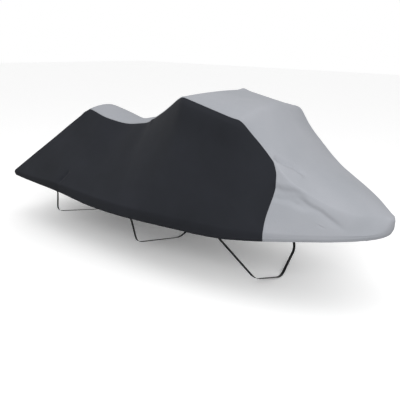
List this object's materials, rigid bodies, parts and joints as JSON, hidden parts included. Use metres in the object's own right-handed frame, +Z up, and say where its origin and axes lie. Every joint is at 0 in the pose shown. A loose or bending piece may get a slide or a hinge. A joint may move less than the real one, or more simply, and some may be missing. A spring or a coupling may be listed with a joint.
{
  "type": "personal watercraft cover",
  "caption": "Fitted two-tone storage cover for a personal watercraft, hollow, with a short hemmed skirt and webbing belly straps.",
  "frame": {"origin": "underside of the roof on the centreline, where the middle of the handlebars holds the cloth up", "axes": "+X towards the bow, -Y to starboard, +Z up"},
  "size_m": [3.07, 1.158, 1.2281],
  "materials": {
    "grey_canvas": "matte",
    "black_canvas": "matte",
    "black_webbing": "satin"
  },
  "bodies": {
    "root": {"centre_hood_panel": "grey_canvas", "starboard_side_panel": "black_canvas", "port_side_panel": "black_canvas", "belly_strap_rear": "black_webbing", "belly_strap_middle": "black_webbing", "belly_strap_front": "black_webbing"}
  },
  "joints": []
}
